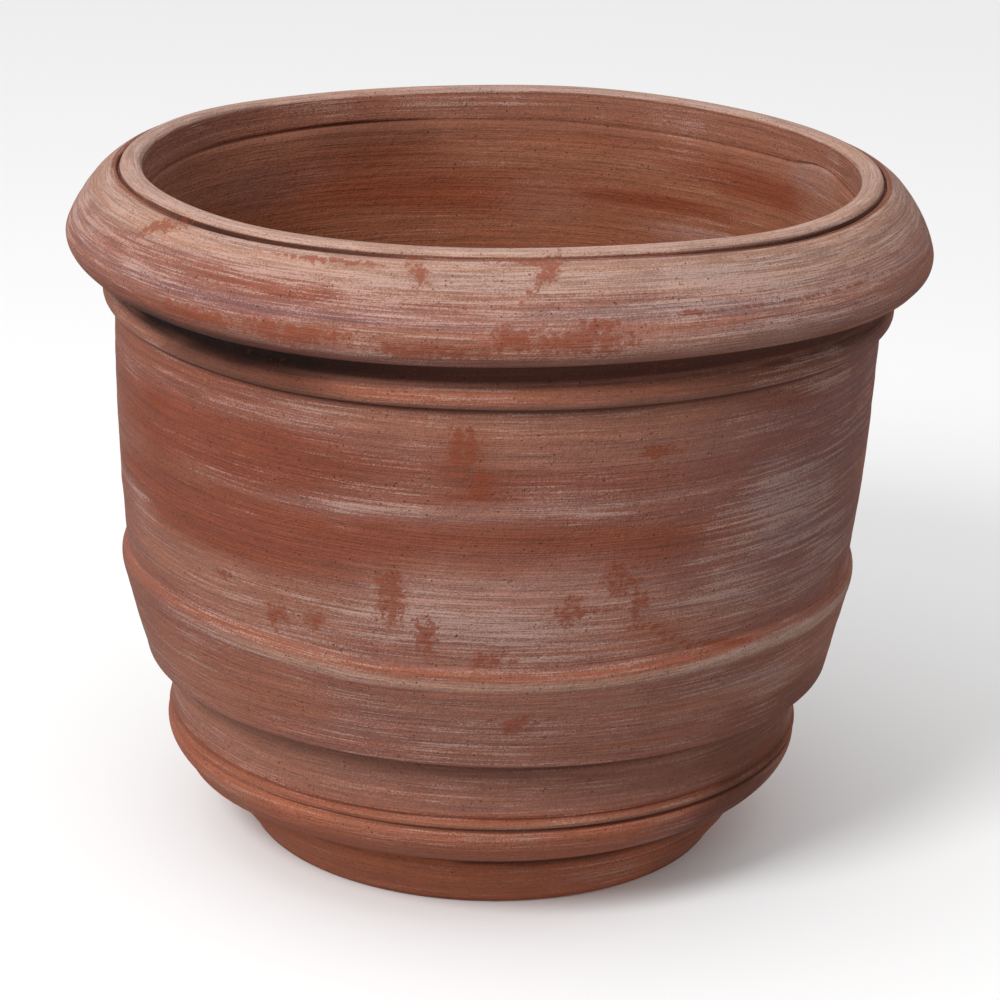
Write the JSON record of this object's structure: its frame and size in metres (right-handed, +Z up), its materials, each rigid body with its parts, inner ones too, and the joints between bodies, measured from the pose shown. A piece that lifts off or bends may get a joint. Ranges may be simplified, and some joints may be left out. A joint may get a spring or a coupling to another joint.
{
  "type": "terracotta pot",
  "caption": "Large round terracotta garden pot with a rolled rim, a collar bead, a low cordon, a moulded base and a drainage hole.",
  "frame": {"origin": "centre of the foot's flat underside", "axes": "+Z up along the pot's axis, out of its mouth; the pot is round, and -Y is the side shown in front"},
  "size_m": [0.6, 0.6, 0.485],
  "materials": {
    "terracotta": "matte"
  },
  "bodies": {
    "root": {"pot": "terracotta"}
  },
  "joints": []
}
